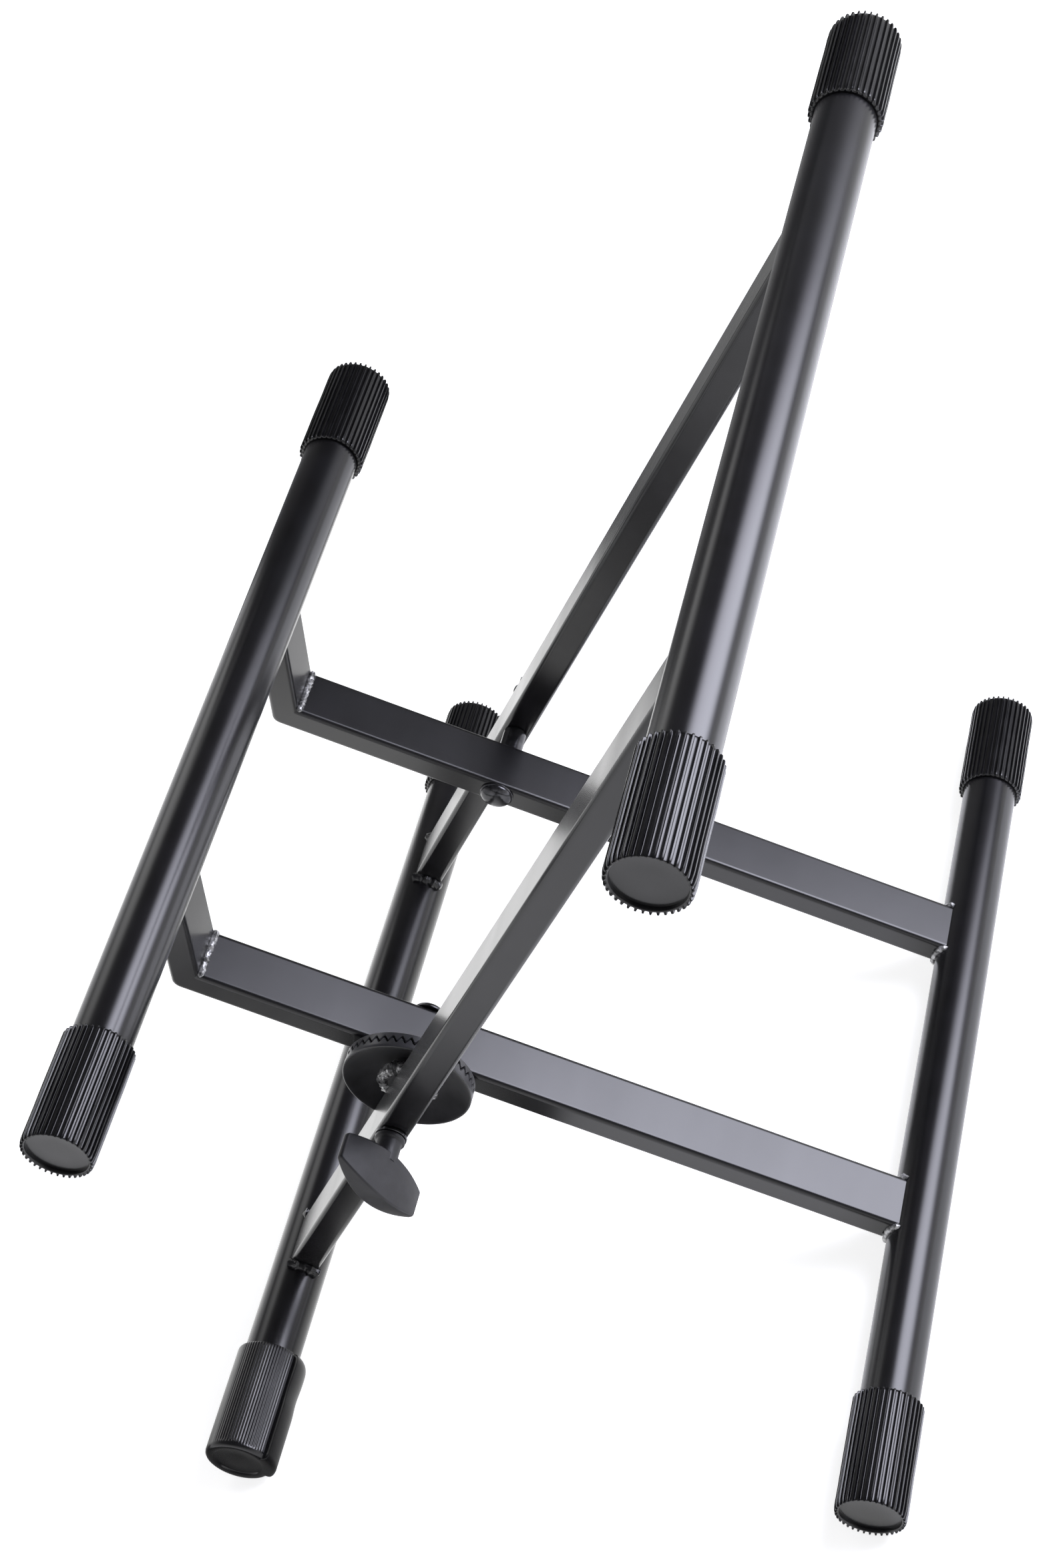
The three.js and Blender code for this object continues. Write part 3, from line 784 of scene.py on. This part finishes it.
def add_discs():
    base = SUPPORT_OUTER
    fixed_root = base + 7.8
    profile = [(HOLE_R, base + 0.1), (15, base + 0.1)]
    profile += dish(16, 29.5, base + 0.3, base + 5.6, 8)
    profile += [(31, base + 5.7), (DISC_R - 0.5, base + 5.7), (DISC_R - 0.1, base + 6.1)]
    toothed_from = len(profile)
    profile += [(DISC_R - 0.1, fixed_root - 0.5), (DISC_R - 0.5, fixed_root), (TOOTH_INNER_R, fixed_root)]
    profile += dish(15, TOOTH_INNER_R - 0.6, base + 2.3, fixed_root - 0.4, 8)[::-1]
    profile += [(HOLE_R, base + 2.3)]
    rows = {toothed_from + row: TOOTH_HEIGHT for row in range(3)}
    points, faces = toothed(profile, rows, 0)
    add_piece("ratchet_disc_fixed_pressed", points, faces, PIVOT_PLACE, "support_frame", DISC_COAT_PAINTED_LIGHT,
              ["ratchet_disc_fixed"], crease=40)

    moving_root = fixed_root + TOOTH_HEIGHT + ROOT_GAP
    top = BACK_INNER - 0.3
    profile = [(HOLE_R, base + 9.9), (SPRING_WELL_R, base + 9.9), (SPRING_WELL_R, base + 3.1)]
    profile += dish(14, TOOTH_INNER_R - 0.6, base + 3.3, moving_root, 8)
    toothed_from = len(profile)
    profile += [(TOOTH_INNER_R, moving_root), (DISC_R - 0.5, moving_root), (DISC_R, moving_root + 0.5)]
    profile += [(DISC_R, moving_root + 1.0), (DISC_R, top - 0.4), (DISC_R - 0.2, top - 0.1)]
    profile += [(DISC_R - 0.5, top), (DISC_R - 0.8, top)]
    profile += dish(11, DISC_R - 1.1, base + 4.7, top - 0.2, 20)[::-1]
    profile += [(10.8, top), (HOLE_R, top)]
    rows = {toothed_from + row: -TOOTH_HEIGHT for row in range(3)}
    points, faces = toothed(profile, rows, 0.5)
    add_piece("ratchet_disc_moving_pressed", points, faces, PIVOT_PLACE, "back_frame", DISC_COAT_PAINTED_LIGHT,
              ["ratchet_disc_moving"], crease=40)


def mushroom_bolt(tip):
    """A dome-headed bolt along +X, its head against the inner face of the support bar."""
    seat = SUPPORT_INNER - 0.1
    dome = []
    for i in range(13):
        angle = math.radians(90 * i / 12)
        dome.append((0.93 * HEAD_R * math.sin(angle), seat - 1.1 - (HEAD_HEIGHT - 1.3) * math.cos(angle)))
    profile = [*dome, (HEAD_R - 0.25, seat - 1.0), (HEAD_R, seat - 0.7), (HEAD_R, seat - 0.2)]
    profile += [(HEAD_R - 0.2, seat), (BOLT_R, seat), (BOLT_R, tip - 1), (BOLT_R - 0.8, tip), (0, tip)]
    return turned(profile)


def washer(inner_r, outer_r, start, end):
    chamfer = 0.25
    profile = [
        (inner_r, start),
        (outer_r - chamfer, start),
        (outer_r, start + chamfer),
        (outer_r, end - chamfer),
        (outer_r - chamfer, end),
        (inner_r, end),
    ]
    return turned(profile, closed=True)


def crown_nut():
    low, high = box_mm("pivot_nut")
    start = -high.x
    flats = (high.z - low.z) / 2
    prism_end = start + NUT_HEIGHT
    corner_r = flats / math.cos(math.radians(30))
    rings = []
    for x, limit in ((start, flats + 0.1), (start + 0.6, corner_r), (prism_end - 0.6, corner_r),
                     (prism_end, flats + 0.1)):
        ring = []
        for j in range(72):
            degrees = 5 * j
            to_flat = (degrees % 60) - 30
            radius = min(flats / math.cos(math.radians(to_flat)), limit)
            ring.append(on_circle(x, radius, math.radians(degrees)))
        rings.append(ring)
    prism = loft(rings)
    tip = -low.x
    dome_r = 6.2
    dome = [(0, start + 1), (dome_r, start + 1), (dome_r, prism_end + 0.6)]
    for i in range(1, 9):
        angle = math.radians(90 * i / 8)
        dome.append((dome_r * math.cos(angle), prism_end + 0.6 + (tip - prism_end - 0.6) * math.sin(angle)))
    return joined(prism, turned(dome, 48))


def coil_spring():
    low, high = box_mm("release_spring")
    wire, coils, steps, around = 0.6, 4, 120, 10
    coil_r = (high.y - low.y) / 2 - wire
    start, end = low.x + wire, high.x - wire
    rings = []
    for i in range(steps + 1):
        angle = TURN * coils * i / steps
        point = Vector(on_circle(start + (end - start) * i / steps, coil_r, angle))
        out = Vector((0, math.cos(angle), math.sin(angle)))
        ring = []
        for j in range(around):
            turn = TURN * j / around
            ring.append(point + out * wire * math.cos(turn) + Vector((wire * math.sin(turn), 0, 0)))
        rings.append(ring)
    return loft(rings)


def add_fasteners():
    low, high = box_mm("knob_washer")
    clamp_washer = washer(HOLE_R, (high.y - low.y) / 2, low.x, high.x)
    low, high = box_mm("pivot_spacer")
    spacer = washer(HOLE_R, (high.y - low.y) / 2, low.x, high.x)
    left_tip = -box_mm("pivot_bolt")[0].x
    fasteners = [
        ("clamp_bolt", "polished", mushroom_bolt(BOLT_TIP), "support_frame", 30),
        ("pivot_bolt", "polished", mirrored(mushroom_bolt(left_tip)), "support_frame", 30),
        ("knob_washer", "polished", clamp_washer, "knob_washer", 32),
        ("pivot_washer", "polished", mirrored(clamp_washer), "support_frame", 32),
        ("pivot_spacer", "turned", spacer, "support_frame", 32),
        ("pivot_nut", "crown", mirrored(crown_nut()), "support_frame", 32),
    ]
    for node, how, (points, faces), body, crease in fasteners:
        add_piece(f"{node}_{how}", points, faces, PIVOT_PLACE, body, BLACK_STEEL,
                  [node], crease)
    points, faces = coil_spring()
    add_piece("release_spring_wound", points, faces, PIVOT_PLACE, "support_frame", ZINC,
              ["release_spring"], crease=60)


# ---------------------------------------------------------------- wing knob
KNOB_TURN = math.radians(-65.6)
WING_HALF_LENGTH = 28
WING_END_HALF = 1.6
WING_MIDDLE_HALF = 6.2
WING_INNER = (169, 164.8)  # X of the edge next to the bar, at the ends and in the middle
WING_OUTER = (183.4, 190.4)


def wing_section(along):
    """Half thickness, inner X and outer X of the wing at that place along it."""
    bulge = 1 - (along / WING_HALF_LENGTH) ** 2
    half = WING_END_HALF + (WING_MIDDLE_HALF - WING_END_HALF) * bulge
    inner = WING_INNER[0] + (WING_INNER[1] - WING_INNER[0]) * bulge
    outer = WING_OUTER[0] + (WING_OUTER[1] - WING_OUTER[0]) * bulge
    return half, inner, outer


def wing():
    rounding = 1.1
    rings = []
    reach = WING_HALF_LENGTH - rounding
    places = [(-reach - rounding * math.sin(math.radians(a)), rounding * (1 - math.cos(math.radians(a))))
              for a in (88, 65, 40, 20)]
    places += [(-reach + 2 * reach * i / 28, 0) for i in range(29)]
    places += [(-along, inset) for along, inset in places[3::-1]]
    for along, inset in places:
        half, inner, outer = wing_section(along)
        half -= inset
        inner += inset
        outer -= inset
        corner = min(rounding, 0.85 * half)
        ring = []
        centres = [
            (outer - corner, half - corner, 0),
            (inner + corner, half - corner, 90),
            (inner + corner, -half + corner, 180),
            (outer - corner, -half + corner, 270),
        ]
        for x, v, start in centres:
            for px, pv in arc((x, v), corner, start, start + 90, 5):
                ring.append((px, along, pv))
        rings.append(ring)
    return loft(rings)


def add_knob():
    base = box_mm("wing_knob")[0].x
    collar_r, shaft_r, bore_r = 7.8, 6.5, 5.4
    top = WING_INNER[1] + 4
    profile = [
        (bore_r, base),
        (collar_r - 0.4, base),
        (collar_r, base + 0.4),
        (collar_r, base + 1.9),
        (collar_r - 0.3, base + 2.3),
        (shaft_r + 0.3, base + 2.6),
        (shaft_r, base + 3.1),
        (shaft_r, top),
        (bore_r, top),
    ]
    points, faces = joined(wing(), turned(profile, 72, closed=True))
    place = PIVOT_PLACE @ Matrix.Rotation(KNOB_TURN, 4, "X")
    add_piece("wing_knob_moulded", points, faces, place, "wing_knob", PLASTIC,
              ["wing_knob"], crease=40)
    low, high = box_mm("knob_insert")
    insert_r = (high.y - low.y) / 2
    points, faces = washer(BOLT_R + 0.15, insert_r, low.x, high.x)
    add_piece("knob_insert_turned", points, faces, PIVOT_PLACE, "wing_knob", BRASS, ["knob_insert"])


# ---------------------------------------------------------------- studio
def emission_panel(name, centre, target, width, height, colour, strength, soft=(0.35, 0.35)):
    """A light panel that faces its target, in metres. soft is the share of each side that fades out."""
    mesh = bpy.data.meshes.new(name)
    half_w, half_h = width / 2, height / 2
    corners = [(-half_w, -half_h, 0), (half_w, -half_h, 0), (half_w, half_h, 0), (-half_w, half_h, 0)]
    mesh.from_pydata(corners, [], [(0, 1, 2, 3)])
    panel = bpy.data.objects.new(name, mesh)
    bpy.context.scene.collection.objects.link(panel)
    facing = (Vector(target) - Vector(centre)).to_track_quat("Z", "Y")
    panel.matrix_world = Matrix.LocRotScale(Vector(centre), facing, None)
    made = bpy.data.materials.new(name)
    made.use_nodes = True
    nodes, links = made.node_tree.nodes, made.node_tree.links
    nodes.clear()
    place = nodes.new("ShaderNodeTexCoord")
    split = nodes.new("ShaderNodeSeparateXYZ")
    links.new(place.outputs["Generated"], split.inputs["Vector"])
    edges = []
    for axis, edge in zip(("X", "Y"), soft):
        fall = nodes.new("ShaderNodeMath")
        fall.operation = "PINGPONG"
        fall.inputs[1].default_value = 0.5
        links.new(split.outputs[axis], fall.inputs[0])
        ramp = nodes.new("ShaderNodeMapRange")
        ramp.interpolation_type = "SMOOTHSTEP"
        ramp.inputs["From Max"].default_value = edge
        links.new(fall.outputs[0], ramp.inputs["Value"])
        edges.append(ramp.outputs["Result"])
    both = nodes.new("ShaderNodeMath")
    both.operation = "MULTIPLY"
    links.new(edges[0], both.inputs[0])
    links.new(edges[1], both.inputs[1])
    power = nodes.new("ShaderNodeMath")
    power.operation = "MULTIPLY"
    power.inputs[1].default_value = strength
    links.new(both.outputs[0], power.inputs[0])
    glow = nodes.new("ShaderNodeEmission")
    glow.inputs["Color"].default_value = (*colour, 1)
    links.new(power.outputs[0], glow.inputs["Strength"])
    out = nodes.new("ShaderNodeOutputMaterial")
    links.new(glow.outputs["Emission"], out.inputs["Surface"])
    mesh.materials.append(made)
    panel.visible_camera = False
    return panel


def add_floor():
    """A pale floor that gives off light itself, which keeps it near white and fills in from below."""
    mesh = bpy.data.meshes.new("floor")
    half = 20
    corners = [(-half, -half, 0), (half, -half, 0), (half, half, 0), (-half, half, 0)]
    mesh.from_pydata(corners, [], [(0, 1, 2, 3)])
    floor = bpy.data.objects.new("floor", mesh)
    bpy.context.scene.collection.objects.link(floor)
    made = bpy.data.materials.new("floor")
    made.use_nodes = True
    shader = made.node_tree.nodes["Principled BSDF"]
    shader.inputs["Base Color"].default_value = (0.82, 0.82, 0.82, 1)
    shader.inputs["Roughness"].default_value = 0.9
    shader.inputs["Specular IOR Level"].default_value = 0.1
    shader.inputs["Emission Color"].default_value = (1, 1, 1, 1)
    shader.inputs["Emission Strength"].default_value = 0.72
    mesh.materials.append(made)


def add_world():
    """Bright near the horizon, dim overhead."""
    world = bpy.data.worlds.new("studio")
    bpy.context.scene.world = world
    world.use_nodes = True
    nodes, links = world.node_tree.nodes, world.node_tree.links
    background = nodes["Background"]
    place = nodes.new("ShaderNodeTexCoord")
    split = nodes.new("ShaderNodeSeparateXYZ")
    ramp = nodes.new("ShaderNodeValToRGB")
    ramp.color_ramp.interpolation = "EASE"
    ramp.color_ramp.elements[0].position = 0.0
    ramp.color_ramp.elements[0].color = (1.25, 1.25, 1.27, 1)
    ramp.color_ramp.elements[1].position = 0.75
    ramp.color_ramp.elements[1].color = (0.16, 0.16, 0.17, 1)
    links.new(place.outputs["Generated"], split.inputs["Vector"])
    links.new(split.outputs["Z"], ramp.inputs["Fac"])
    links.new(ramp.outputs["Color"], background.inputs["Color"])
    background.inputs["Strength"].default_value = 1.0


def add_lights():
    """Two panels light the stand. The card and the flag show in its gloss only."""
    white = (1, 1, 1)
    stand = (0, 0, 0.2)
    emission_panel("key_panel", (-0.45, 0.95, 1.00), stand, 1.3, 1.5, (0.86, 0.87, 1.0), 11.5)
    emission_panel("front_panel", (-0.85, -1.0, 1.0), stand, 1.3, 1.1, white, 2.0)
    card_place, overhead = (-0.2, -0.42, 0.0005), (-0.2, -0.42, 1)
    card = emission_panel("bounce_card", card_place, overhead, 1.02, 0.74, white, 1.75, (0.18, 0.16))
    flag_place, across = (-0.52, -0.2, 0.3), (0.5, 0.1, 0.3)
    flag = emission_panel("grey_flag", flag_place, across, 0.7, 0.9, white, 0.3, (0.3, 0.5))
    for panel in (card, flag):
        panel.visible_diffuse = False
        panel.visible_shadow = False


def add_camera():
    """A long lens from above the rear right corner, rolled so that the stand leans in the frame."""
    camera = bpy.data.cameras.new("camera")
    camera.sensor_fit = "VERTICAL"
    camera.sensor_height = 36
    camera.sensor_width = 24
    camera.lens = 66.39
    forward = Vector((-0.62617, -0.33654, -0.70332)).normalized()
    right = Vector((-0.22459, 0.94167, -0.25064)).normalized()
    up = right.cross(forward)
    obj = bpy.data.objects.new("camera", camera)
    bpy.context.scene.collection.objects.link(obj)
    axes = Matrix((right, up, -forward)).transposed().to_4x4()
    axes.translation = (0.9152, 0.4818, 1.2825)
    obj.matrix_world = axes
    bpy.context.scene.camera = obj


add_tubes()
add_bars()
add_welds()
add_caps()
add_discs()
add_fasteners()
add_knob()
add_floor()
add_world()
add_lights()
add_camera()
bpy.context.scene.view_settings.view_transform = "Standard"
